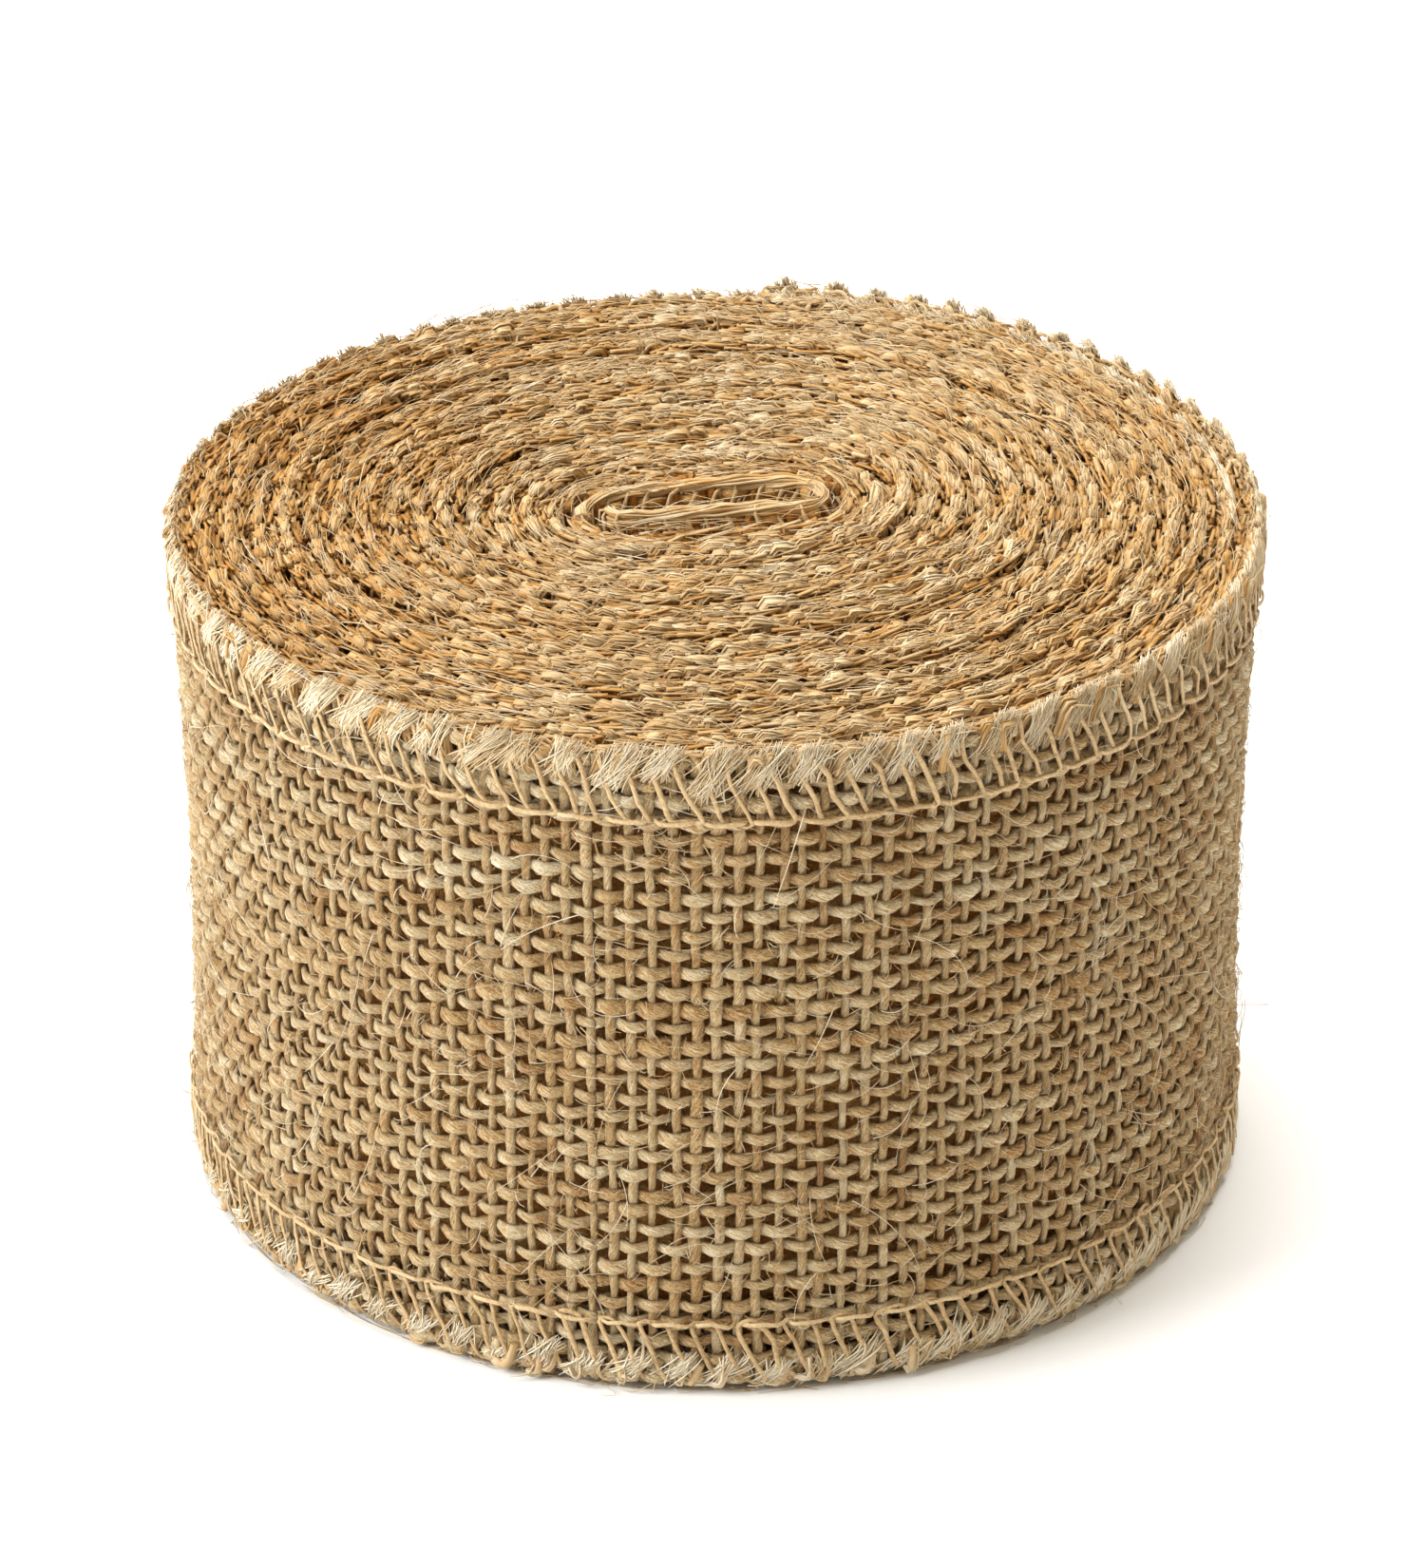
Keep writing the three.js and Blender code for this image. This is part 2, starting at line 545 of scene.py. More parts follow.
ribbonCuts = {
    # how the ribbon is shared out among pieces
    "coilArcs": 4,  # pieces that the woven outer turn is cut into, short of the tail
    "eyeTurns": 2.0,  # woven turns round the eye
    "rolledTurns": 0.97,  # how much of the eye's edge is rolled into a rope
    "frayRoom": 9.0,  # how far past the ribbon's end the last stretch reaches, to hold the frayed warps
}
tailNames = [f"tail_{n}" for n in range(1, winding["tailPieces"] + 1)]
tailStart = (winding["tailPieces"] + 0.5) / winding["piecesPerTurn"]  # turns back from the free end
outerTurns = 1.0 + winding["tailPieces"] / winding["piecesPerTurn"]
eyeLength = lengthAt(winding["turns"] - ribbonCuts["eyeTurns"])
rolledLength = lengthAt(winding["turns"] - ribbonCuts["rolledTurns"])
outerLength = lengthAt(outerTurns)
coilEnd = lengthAt(tailStart)


def arcStretches():
    # name, first and last place along the ribbon
    cuts = [lengthAt(t) for t in np.linspace(outerTurns, tailStart, ribbonCuts["coilArcs"] + 1)]
    return [(f"coil_arc_{n + 1}", cuts[n], cuts[n + 1]) for n in range(ribbonCuts["coilArcs"])]


def tailStretches():
    found = []
    for n, name in enumerate(tailNames):
        first = tailStart - n / winding["piecesPerTurn"]
        last = first - 1 / winding["piecesPerTurn"]
        end = ribbonLength + ribbonCuts["frayRoom"] if name == tailNames[-1] else lengthAt(last)
        found.append((name, lengthAt(first), end))
    return found


coilArcs = arcStretches()
tailParts = tailStretches()


def join(piece, name, nodes=()):
    # seats a finished piece on the coil's body, or for a tail piece bakes its placement into its mesh, and
    # hides the parts it stands in for
    if name in tailNames:
        number = tailNames.index(name)
        before = "coil" if number == 0 else tailNames[number - 1]
        for half in (0.5, -0.5):
            turns = (winding["tailPieces"] - number + half) / winding["piecesPerTurn"]
            x, y = lookUp(lengthAt(turns), lineTable) * mm
        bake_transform(piece)
    else:
        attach(piece, "coil")
    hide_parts(*nodes)
    return piece


weave = {
    # weft yarns lie across the ribbon, warp yarns along it
    "weftPitch": 2.18,
    "weftHalfWide": 0.48,
    "weftHalfHigh": 0.35,
    "weftSwing": 0.2,  # how far a yarn swings in and out as it passes over and under
    "weftDrift": 0.16,  # how far it strays sideways
    "weftTone": 0.46,
    "warps": 34,
    "warpPitch": 2.17,
    "warpHalfWide": 0.7,
    "warpHalfHigh": 0.4,
    "warpSwing": 0.52,
    "warpDrift": 0.13,
    "warpTone": 0.53,
    "perCrossing": 4,  # rings of a yarn from one crossing to the next
    "edgeGap": 0.9,
    "sides": 7,
    "unlike": 0.07,  # how much one yarn's thickness differs from the next one's
    "thinAndThick": 0.13,  # how much it changes along a yarn
    "lumps": 0.13,
    "twist": 0.9,
    "grain": 3.0,
    "fray": 2.6,  # how far the warps run past the last weft at the free end
    # painted shade: how much darker the cloth round the eye is painted, for the shade in its hollow
    "eyePaintedShade": -0.05,
    "pale": 0.07,  # how much paler the cloth is under the stitching
}


stitching = {
    "stitch": 4.8,  # the length of one stitch
    "depth": 7.5,  # from the ribbon's edge to the needle line
    "halfWide": 0.26,
    "halfHigh": 0.14,
    "inset": {"top": 0.25, "bottom": 0.9},
    "looseness": 0.2,
    "buried": 0.5,  # how much deeper the fray hides the stitches inside the roll
    "twist": 2.5,
    "tone": 0.5,
}


def layWefts(first, pitch, wefts, bottom, shade):
    step, warps = weave["perCrossing"], weave["warps"]
    upRings = (warps - 1) * step + 2 * step + 1
    up = bottom + (np.arange(upRings) - step) * weave["warpPitch"] / step
    up = np.clip(up, weave["edgeGap"], width - weave["edgeGap"])
    number = np.arange(wefts)
    weftAlong = first + (number + 0.5) * pitch
    along = weftAlong[:, None] + wander(wefts, upRings, 5 * step, weave["weftDrift"])
    along = along + dice.normal(0, 0.07, (wefts, 1))
    phase = np.pi * (up - bottom) / weave["warpPitch"] + np.pi * number[:, None]
    out = weave["weftSwing"] * np.cos(phase) + wander(wefts, upRings, 2 * step, 0.05)
    body = dice.normal(0, weave["unlike"], (wefts, 1))
    body = np.exp(body + wander(wefts, upRings, 3 * step, weave["thinAndThick"]))
    tone = weave["weftTone"] + shade + dice.normal(0, 0.06, (wefts, 1))
    tone = tone + wander(wefts, upRings, 6 * step, 0.08)
    return {
        "path": wrap(along, up, out),
        "facing": facingOut(along),
        "halfWide": weave["weftHalfWide"] * body,
        "halfHigh": weave["weftHalfHigh"] * body ** 0.5,
        "tone": tone + weave["pale"] * (np.minimum(up, width - up) < stitching["depth"]),
        "along": weftAlong,
    }


def layWarps(first, pitch, wefts, bottom, fray, shade):
    step, warps = weave["perCrossing"], weave["warps"]
    frayRings = int(fray * step / pitch)
    alongRings = wefts * step + 1 + frayRings
    along = first + np.arange(alongRings) * pitch / step
    number = np.arange(warps)
    rows = bottom + number * weave["warpPitch"]
    up = rows[:, None] + wander(warps, alongRings, 7 * step, weave["warpDrift"])
    up = up + dice.normal(0, 0.05, (warps, 1))
    phase = np.pi * (along - first - pitch / 2) / pitch + np.pi * number[:, None]
    out = -weave["warpSwing"] * np.cos(phase) + wander(warps, alongRings, 2 * step, 0.05)
    body = dice.normal(0, weave["unlike"], (warps, 1))
    body = np.exp(body + wander(warps, alongRings, 2 * step, weave["thinAndThick"]))
    if frayRings:
        body[:, -frayRings:] *= np.linspace(1.1, 0.35, frayRings)
    tone = weave["warpTone"] + shade + dice.normal(0, 0.04, (warps, 1))
    tone = tone + wander(warps, alongRings, 5 * step, 0.1)
    return {
        "path": wrap(along[None], up, out),
        "facing": np.broadcast_to(facingOut(along)[None], (warps, alongRings, 3)),
        "halfWide": weave["warpHalfWide"] * body,
        "halfHigh": weave["warpHalfHigh"] * body ** 0.5,
        "tone": tone + weave["pale"] * (np.minimum(rows, width - rows) < stitching["depth"])[:, None],
        "along": along,
    }


def weaveCloth(first, last, fray, shade):
    wefts = int(round((last - first) / weave["weftPitch"]))
    pitch = (last - first) / wefts
    bottom = (width - (weave["warps"] - 1) * weave["warpPitch"]) / 2
    return layWefts(first, pitch, wefts, bottom, shade), layWarps(first, pitch, wefts, bottom, fray, shade)


def weaveTubes(weft, warp, first, last):
    # the wefts that lie between two places, and the run of each warp between them
    chosen = (weft["along"] >= first) & (weft["along"] < last)
    low = int(np.argmin(np.abs(warp["along"] - first)))
    high = int(np.argmin(np.abs(warp["along"] - last)))
    tubes = []
    for yarns, part in ((weft, chosen), (warp, np.s_[:, low:high + 1])):
        run = [yarns[key][part] for key in ("path", "facing", "halfWide", "halfHigh", "tone")]
        tubes.append(sweepTubes(*run, weave["sides"], weave["twist"], weave["grain"], weave["lumps"]))
    return tubes


def makeWeaves():
    weft, warp = weaveCloth(outerLength, ribbonLength, weave["fray"], 0.0)
    for name, first, last in [*coilArcs, *tailParts]:
        piece = makePiece(f"{name}_weave", weaveTubes(weft, warp, first, last), jute)
        last = min(last, ribbonLength)
        node = name if name in tailNames else "coil"
        join(piece, name, [f"{node}_cloth"])
        (last - first) * mm
    # the cloth round the eye, painted darker as shade in the hollow
    weft, warp = weaveCloth(0.0, eyeLength, 0.0, weave["eyePaintedShade"])
    piece = makePiece("coil_eye_weave", weaveTubes(weft, warp, 0.0, eyeLength), juteEyePaintedShade)
    join(piece, "coil", ["coil_cloth"])


innerTurns = {
    # the turns between the eye and the outer turn, one sheet whose edges lie under the fray
    "edgeGap": 1.6,
    "step": 1.1,
    "rows": 12,
    "ruffle": 0.05,
}


def makeWindings():
    edge = innerTurns["edgeGap"]
    count = int((outerLength - eyeLength) / innerTurns["step"])
    along = np.linspace(eyeLength, outerLength, count)
    up = np.linspace(edge, width - edge, innerTurns["rows"])
    grid = wrap(along[:, None], up[None, :], 0.0)
    grid[..., :2] += dice.normal(0, innerTurns["ruffle"], grid[..., :2].shape)
    index = np.arange(count * len(up)).reshape(count, len(up))
    quads = np.stack((index[:-1, :-1], index[1:, :-1], index[1:, 1:], index[:-1, 1:]), -1).reshape(-1, 4)
    places = np.broadcast_arrays(along[:, None] / weave["weftPitch"], up[None, :] / weave["warpPitch"], 0.5)
    sheet = {
        "points": grid.reshape(-1, 3),
        "tone": np.full(count * len(up), 0.4),
        "fibre": np.stack(places, -1).reshape(-1, 3),
        "quads": quads,
        "caps": np.zeros((0, 4), int),
    }
    piece = makePiece("coil_windings", [sheet], innerCloth)
    join(piece, "coil", ["coil_cloth"])


makeWindings()
makeWeaves()
print("cloth woven")


# one stitch of a thread: along, down from the edge, out from the cloth's middle
looperStitch = [
    (0.0, 7.5, 0.9), (-1.0, 5.2, 1.02), (-2.0, 2.8, 1.02), (-2.75, 1.0, 0.8),
    (-2.7, 0.4, 0.45), (-1.9, 0.2, 0.15), (-0.9, 0.3, 0.2), (-0.15, 1.0, 0.7),
    (0.5, 2.8, 1.02), (1.45, 5.2, 1.02), (2.4, 7.5, 0.9), (3.6, 7.75, 0.85),
]
needleStitch = [(0.0, 7.5, 0.4), (0.9, 7.55, 1.15), (2.4, 7.65, 1.25), (3.9, 7.55, 1.15)]


def smoothThrough(knots, finer):
    # a smooth curve through all the knots but the outermost
    a, b, c, d = knots[:-3, None], knots[1:-2, None], knots[2:-1, None], knots[3:, None]
    t = (np.arange(finer) / finer)[None, :, None]
    square = 2 * a - 5 * b + 4 * c - d
    cube = 3 * b - a - 3 * c + d
    curve = 0.5 * (2 * b + (c - a) * t + square * t ** 2 + cube * t ** 3)
    return curve.reshape(-1, knots.shape[1])


def layStitches(pattern, edge, first, last, finer, mirror, shift, slack):
    # the thread's line between two places along the ribbon, in ribbon coordinates
    stitch = stitching["stitch"]
    if edge == "bottom":
        first, last = ribbonLength - last, ribbonLength - first
    numbers = np.arange(math.floor(first / stitch) - 2, math.ceil(last / stitch) + 3)
    steps = np.array(pattern)
    knots = np.repeat(steps[None], len(numbers), axis=0)
    knots[..., 0] += numbers[:, None] * stitch + shift
    knots[..., 2] *= mirror
    loose = stitching["looseness"] * slack
    knots = knots + dice.normal(0, 1, knots.shape) * (loose, loose, loose * 0.5)
    knots[..., 0] += dice.normal(0, 0.3 * slack, (len(numbers), 1))
    line = smoothThrough(knots.reshape(-1, 3), finer)
    along, down, out = line.T
    place = along if edge == "top" else ribbonLength - along
    buried = np.clip((outerLength - place) / 20, 0, 1) * np.clip((place - rolledLength) / 8, 0, 1)
    down = down + stitching["inset"][edge] + stitching["buried"] * buried
    inside = np.flatnonzero((along >= first) & (along <= last))
    keep = slice(inside[0], inside[-1] + 1)
    along, down, out = along[keep], down[keep], out[keep]
    if edge == "bottom":
        return (ribbonLength - along)[::-1], down[::-1], out[::-1]
    return along, width - down, out


def threadTube(line, sides=6):
    along, up, out = line
    count = len(along)
    path = wrap(along, up, out)[None]
    swell = np.exp(wander(1, count, 9, 0.1))
    tone = stitching["tone"] + wander(1, count, 30, 0.1)
    wide, high = stitching["halfWide"] * swell, stitching["halfHigh"] * swell
    return sweepTubes(path, facingOut(along)[None], wide, high, tone, sides, stitching["twist"], 2.0)


def cutLine(line, first, last):
    # the run of a thread that belongs to one stretch, with one ring shared by the next
    inside = np.flatnonzero((line[0] >= first) & (line[0] < last))
    return [values[inside[0]:inside[-1] + 2] for values in line]


threads = {
    # pattern, which face it lies on, shift along, slack, material, slot
    "upper_looper": (looperStitch, 1.0, 0.0, 1.0, looperThread, "looper_thread"),
    "lower_looper": (looperStitch, -1.0, 1.7, 1.0, looperThread, "looper_thread"),
    "needle_thread": (needleStitch, 1.0, 0.0, 0.5, needleThread, "needle_thread"),
}
tailThreads = {
    "loopers": ["upper_looper", "lower_looper"],
    "needle_threads": ["needle_thread"],
}


def makeStitching():
    lines = {}
    for edge in ("top", "bottom"):
        for name, (pattern, mirror, shift, slack, material, slot) in threads.items():
            outer = layStitches(pattern, edge, outerLength, ribbonLength, 2, mirror, shift, slack)
            inner = layStitches(pattern, edge, 0.0, outerLength, 1, mirror, shift, slack)
            lines[edge, name] = outer
            tubes = [threadTube(inner, 5), threadTube(cutLine(outer, 0.0, coilEnd))]
            piece = makePiece(f"coil_{edge}_{name}", tubes, material)
            join(piece, "coil", [f"coil_{edge}_{name}"])
    for stretch, first, last in tailParts:
        for kind, names in tailThreads.items():
            tubes, nodes = [], []
            for edge in ("top", "bottom"):
                for name in names:
                    tubes.append(threadTube(cutLine(lines[edge, name], first, last)))
                    nodes.append(f"{stretch}_{edge}_{name}")
            material, slot = threads[names[0]][-2:]
            join(makePiece(f"{stretch}_{kind}", tubes, material), stretch, nodes)


makeStitching()
print("edges stitched")


ends = {
    # the cut ends of the weft yarns, frayed and laid over along the edges
    "pitch": 2.18,
    "pieces": {"top": 6, "bottom": 2},  # pieces that the ends inside the roll are split into
    # strands for each yarn end: close round it, fanning off it, and lying between the turns
    "close": {"top": 7, "bottom": 3},
    "fanned": {"top": 2, "bottom": 1},
    "between": {"top": 11, "bottom": 2},
    "rings": 5,
    "rootDepth": 3.1,  # where the end leaves its yarn, below the edge
    "crest": 0.55,  # the share of its length that climbs before it lies over
    "layOver": 2.4,
    "gather": 0.4,  # how far each stitch draws its yarn ends together
    "bunchCentre": 0.95,
    "combHeight": 0.8,  # how far the bunches stand up along the loose tail
    "tailTurns": 0.27,  # turns back from the free end to where the comb begins, and how sharply
    "tailBegins": 40,
    "coreRadius": 0.5,
    "strandRadius": 0.14,
    "betweenRadius": 0.23,
    "twist": 0.5,
    "paintedShadeLeft": 0.32,  # painted shade: how much darker and more golden the ends are painted at the left of the roll, for the shade seen between its turns
    "paintedShadeRight": 0.16,
    "paintedShadeReach": 50.0,  # how far out that is
    "sunk": 1.5,  # how far the first turn outside the eye's rope is sunk
    "tailTone": 0.2,
    # painted light: how much paler the ends and brushes of the bottom edge are painted, for the light the
    # floor throws up
    "bottomPaintedLight": 0.2,
}


def turnsBackAt(edge, along):
    # turns from the free end; along the bottom edge, places are counted back from that end
    return np.interp(along if edge == "top" else ribbonLength - along, lengthTable, turnsTable)


def tailShare(turnsBack):
    return np.clip((ends["tailTurns"] - turnsBack) * ends["tailBegins"], 0, 1)


def bundleLines(edge, first, last):
    # the middle line of each yarn end: along the ribbon, down from its edge, and out
    pitch, stitch = ends["pitch"], stitching["stitch"]
    root = np.arange(math.ceil(first / pitch), math.ceil(last / pitch)) * pitch
    count = len(root)
    root = root + dice.normal(0, 0.12, count)
    bunch = np.round((root - ends["bunchCentre"]) / stitch) * stitch + ends["bunchCentre"]
    near = np.clip(1 - np.abs(root - bunch) / 2.2, 0, 1)[:, None]
    turnsBack = turnsBackAt(edge, root)
    onTail = tailShare(turnsBack)[:, None]
    outside = np.clip((1.05 - turnsBack) * 12, 0, 1)[:, None]
    grow = np.linspace(0, 1, ends["rings"])[None]

    def each(middle, spread):
        return dice.normal(middle, spread, (count, 1))

    climb = 1 - (1 - np.minimum(grow / ends["crest"], 1)) ** 2
    layOver = each(ends["layOver"], 0.7) * (1 - 0.35 * outside - 0.45 * onTail)
    gather = (bunch - root)[:, None] * (ends["gather"] + 0.5 * onTail)
    along = root[:, None] + gather * climb + layOver * (0.2 * grow + 0.8 * grow ** 2)
    crestDown = each(0.35, 0.22) - ends["combHeight"] * near * onTail * grow
    down = each(ends["rootDepth"], 0.35) * (1 - climb) + crestDown * climb
    down = down + np.abs(each(0.0, 0.8)) * np.maximum(grow - ends["crest"], 0) ** 2 * 2.5 * (1 - onTail)
    out = each(0.0, 0.22) + 0.35 * outside + (each(0.0, 0.38) - 0.15 * outside) * grow ** 1.5
    return along, down + stitching["inset"][edge], out, grow, onTail, outside


def endTubes(edge, first, last):
    if edge == "bottom":
        first, last = ribbonLength - last, ribbonLength - first
    along, down, out, grow, onTail, outside = bundleLines(edge, first, last)
    count = len(along)
    places = along[:, 0] if edge == "top" else ribbonLength - along[:, 0]
    # painted shade: the ends at the left and right of the roll are painted darker and more golden than at
    # its front and back
    rightness = np.clip(lookUp(places, lineTable)[:, 0] / ends["paintedShadeReach"], -1, 1)[:, None, None]
    golden = np.maximum(-ends["paintedShadeLeft"] * rightness, ends["paintedShadeRight"] * rightness)
    shade = dice.normal(0.09, 0.06, (count, 1, 1)) - golden
    innermost = (places < eyeLength)[:, None, None]
    taper = np.interp(grow, [0, 0.6, 0.9, 1], [1.0, 1.0, 0.75, 0.35])
    tubes = []

    def addTubes(along, down, out, radius, tone, sides, lumps=0.0):
        shape = (-1, along.shape[-1])
        along, down, out, radius, tone = (
            np.array(v).reshape(shape) for v in np.broadcast_arrays(along, down, out, radius, tone)
        )
        if edge == "bottom":
            along = ribbonLength - along
            down = width - np.maximum(down, 0.05 + 1.15 * radius)
        path, facing = wrap(along, width - down, out), facingOut(along)
        tubes.append(sweepTubes(path, facing, radius, radius, tone, sides, ends["twist"], 1.4, lumps))

    # the yarn end itself
    # painted light from the floor: the bottom edge's ends are painted paler
    if edge == "bottom":
        shade = shade + ends["bottomPaintedLight"]
    down = down + ends["sunk"] * np.clip((eyeLength - places) / 30, 0, 1)[:, None]
    coreTone = 0.36 + 0.22 * grow + shade[:, 0] + ends["tailTone"] * onTail
    addTubes(along, down, out, ends["coreRadius"] * taper, coreTone, 6, 0.14)
    # strands wound close round it
    slopeAlong, slopeDown = np.gradient(along, axis=1), np.gradient(down, axis=1)
    slope = np.hypot(slopeAlong, slopeDown)
    strands = ends["close"][edge]
    start = np.arange(strands)[None, :, None] + dice.uniform(0, 1, (count, strands, 1))
    turn = 2 * np.pi * start / strands + 1.1 * grow
    reach = (ends["coreRadius"] + 0.02) * taper[:, None] * dice.normal(1.0, 0.18, (count, strands, 1))
    side = reach * np.sin(turn)
    closeAlong = along[:, None] - side * (slopeDown / slope)[:, None]
    closeDown = down[:, None] + side * (slopeAlong / slope)[:, None]
    closeOut = out[:, None] + reach * np.cos(turn)
    radius = ends["strandRadius"] * (1.25 - 0.45 * grow) * np.exp(dice.normal(0, 0.2, (count, strands, 1)))
    tone = 0.44 + 0.24 * grow + dice.normal(0, 0.07, (count, strands, 1)) + shade
    tone = tone + ends["tailTone"] * onTail[:, None]
    addTubes(closeAlong, closeDown, closeOut, radius, tone, 3)
    # strands that fan off it
    strands = ends["fanned"][edge]
    loose = grow ** 1.5 * (1 - 0.5 * onTail[:, None])

    def off(middle, spread):
        return dice.normal(middle, spread, (count, strands, 1))

    fanAlong = along[:, None] + off(0, 0.2) + off(0.2, 0.8) * loose
    fanDown = down[:, None] + off(-0.05, 0.3) * loose
    fanOut = out[:, None] + off(0, 0.25) + off(0, 0.7) * loose
    radius = ends["strandRadius"] * (1.1 - 0.6 * grow) * np.exp(dice.normal(0, 0.25, (count, strands, 1)))
    tone = 0.45 + 0.26 * grow + dice.normal(0, 0.1, (count, strands, 1)) + shade
    addTubes(fanAlong, fanDown, fanOut, radius, tone, 3)
    # fibres lying deeper, between this turn and the next, but clear of the eye's first leg
    strands = ends["between"][edge]
    start = along[:, None, :1] + dice.uniform(-2, 1, (count, strands, 1))
    lie = dice.uniform(1.6, 3.6, (count, strands, 1)) * grow
    depth = dice.uniform(0.4, 2.0, (count, strands, 1)) + off(0, 0.35) * grow
    least = -1.5 + 1.2 * innermost
    apart = least + dice.uniform(0, 1, (count, strands, 1)) * (1.5 - least - 1.3 * outside[:, None])
    apart = apart + off(0, 0.3) * grow
    radius = ends["betweenRadius"] * np.exp(off(0, 0.2))
    # painted shade: the deeper these fibres lie between the turns, the darker they are painted
    tone = 0.44 - 0.12 * depth + off(0, 0.08) + 0.6 * shade
    addTubes(start + lie, depth + stitching["inset"][edge], apart, radius, tone, 3)
    return tubes


def stubTubes(edge, first, last):
    # the last few millimetres of each weft inside the roll
    root = np.arange(math.ceil(first / ends["pitch"]), math.ceil(last / ends["pitch"])) * ends["pitch"]
    down = np.array([2.2, 3.4, 5.0, 6.8])[None] + stitching["inset"][edge]
    up = width - down if edge == "top" else down
    along = root[:, None] + dice.normal(0, 0.15, (len(root), 1))
    out = 0.22 * np.cos(np.pi * np.arange(4)[None] * 0.7 + np.pi * np.arange(len(root))[:, None])
    tone = 0.28 + dice.normal(0, 0.1, (len(root), 1))
    along, up, out = np.broadcast_arrays(along, up, out)
    return sweepTubes(wrap(along, up, out), facingOut(along), 0.5, 0.42, tone, 6, 0.9, 3.0, 0.1)


rolledEdge = {
    # the eye's edge, drawn into a smooth rope by its stitches
    "strands": 30,
    "radius": 0.66,
    "down": 0.8,
    "strandRadius": 0.17,
    "twist": 0.14,  # radians for each millimetre
    "pinch": 0.2,  # how much thinner the rope is at each stitch
    "step": 0.8,
    "clearance": 0.25,  # the least height of the lower rope's strands
    "tone": 0.56,
}


def rolledTubes(edge, first, last):
    strands = rolledEdge["strands"]
    count = int((last - first) / rolledEdge["step"])
    along = np.linspace(first, last, count)[None]
    layer = np.sqrt((np.arange(strands) + 0.5) / strands)[:, None]
    turn = 2.4 * np.arange(strands)[:, None] + along * rolledEdge["twist"] + wander(strands, count, 9, 0.4)
    beat = np.cos(2 * np.pi * (along - ends["bunchCentre"]) / stitching["stitch"])
    pinch = 1 - rolledEdge["pinch"] * beat
    reach = rolledEdge["radius"] * layer * pinch * np.exp(wander(1, count, 10, 0.16))
    down = rolledEdge["down"] + reach * np.cos(turn) + wander(1, count, 12, 0.15)
    out = 0.9 * reach * np.sin(turn) + wander(1, count, 12, 0.12)
    up = width - down if edge == "top" else np.maximum(down, rolledEdge["clearance"])
    tone = rolledEdge["tone"] + dice.normal(0, 0.1, (strands, 1)) + wander(strands, count, 8, 0.1)
    radius = rolledEdge["strandRadius"] * np.exp(wander(strands, count, 6, 0.15))
    along, up, out = np.broadcast_arrays(along, up, out)
    return sweepTubes(wrap(along, up, out), facingOut(along), radius, radius, tone, 5, 0.6, 1.2, 0.1)


tufts = {
    # each stitch of the outermost turn draws its yarn ends into one brush, which leans over its legs
    "strands": {"top": 64, "bottom": 38},
    "rings": 7,
    "rootDepth": 3.6,
    "rootSpread": 0.95,
    "tipSpread": 1.0,
    "lean": 2.3,
    "stand": {"top": 0.4, "bottom": -0.25},  # how far the tips stand past the edge
    "face": 0.85,  # how far out from the cloth's middle the brushes lie
    "bulge": 0.4,
    "tuck": 0.75,  # how far the tips curl back over the edge
    "waviness": 0.13,
    "strandRadius": 0.08,
    "tone": 0.55,
    # along the loose tail, where the brushes make a blunt comb
    "combStand": 0.5,
    "combUpright": 0.8,
    "combDome": 0.3,
}


def tuftTubes(edge, first, last):
    if edge == "bottom":
        first, last = ribbonLength - last, ribbonLength - first
    stitch, centre = stitching["stitch"], ends["bunchCentre"]
    numbers = np.arange(math.ceil((first - centre) / stitch), math.ceil((last - centre) / stitch))
    middle = numbers * stitch + centre
    strands, rings = tufts["strands"][edge], tufts["rings"]
    count = len(middle)
    each, brush = (count, strands, 1), (count, 1, 1)  # a draw for each strand, or one for each brush
    grow = np.linspace(0, 1, rings)[None, None]

    def off(mean, spread, shape=each):
        return dice.normal(mean, spread, shape)

    onTail = tailShare(turnsBackAt(edge, middle))[:, None, None]
    size = np.exp(off(0, 0.14, brush))
    lean = tufts["lean"] * (1 - tufts["combUpright"] * onTail)
    lean = (lean + off(0, 0.5, brush) + off(0, 0.25)) * size
    tip = off(0, tufts["tipSpread"]) * size * (1 - 0.2 * onTail)
    wave = wander(count * strands, rings, 2.2, tufts["waviness"]).reshape(count, strands, rings)
    along = middle[:, None, None] - 0.5 + off(0, tufts["rootSpread"]) * (1 - grow)
    along = along + tip * grow + lean * grow ** 1.2 + wave
    top = -(tufts["stand"][edge] + tufts["combStand"] * onTail) * size + off(0, 0.3) * (1 - 0.5 * onTail)
    top = top + 0.12 * np.abs(tip) + tufts["combDome"] * onTail * tip ** 2
    down = (tufts["rootDepth"] + off(0, 0.45)) * size * (1 - grow) ** 0.9 + top * grow - 0.7 * wave
    layer = dice.uniform(0.2, 1.0, each)
    bulge = tufts["bulge"] * size * layer * np.sin(np.pi * np.minimum(grow * 0.9 + 0.1, 1))
    out = tufts["face"] + bulge - tufts["tuck"] * layer ** 0.5 * grow ** 3 + off(0, 0.1) * grow
    taper = np.interp(grow, [0, 0.3, 0.8, 1], [0.8, 1.1, 1.0, 0.5])
    radius = tufts["strandRadius"] * taper * np.exp(off(0, 0.18))
    tone = tufts["tone"] + 0.25 * layer + 0.2 * grow + off(0, 0.12) + off(0, 0.06, brush)
    # painted light from the floor: the bottom edge's brushes are painted paler
    if edge == "bottom":
        tone = tone + ends["bottomPaintedLight"]
    along, down, out, radius, tone = (
        np.array(v).reshape(count * strands, rings)
        for v in np.broadcast_arrays(along, down, out, radius, tone)
    )
    down = down + stitching["inset"][edge] * (edge == "bottom")
    if edge == "bottom":
        along = ribbonLength - along
        down = width - np.maximum(down, 0.12)
    return sweepTubes(wrap(along, width - down, out), facingOut(along), radius, radius, tone, 3, 0.5, 0.9)


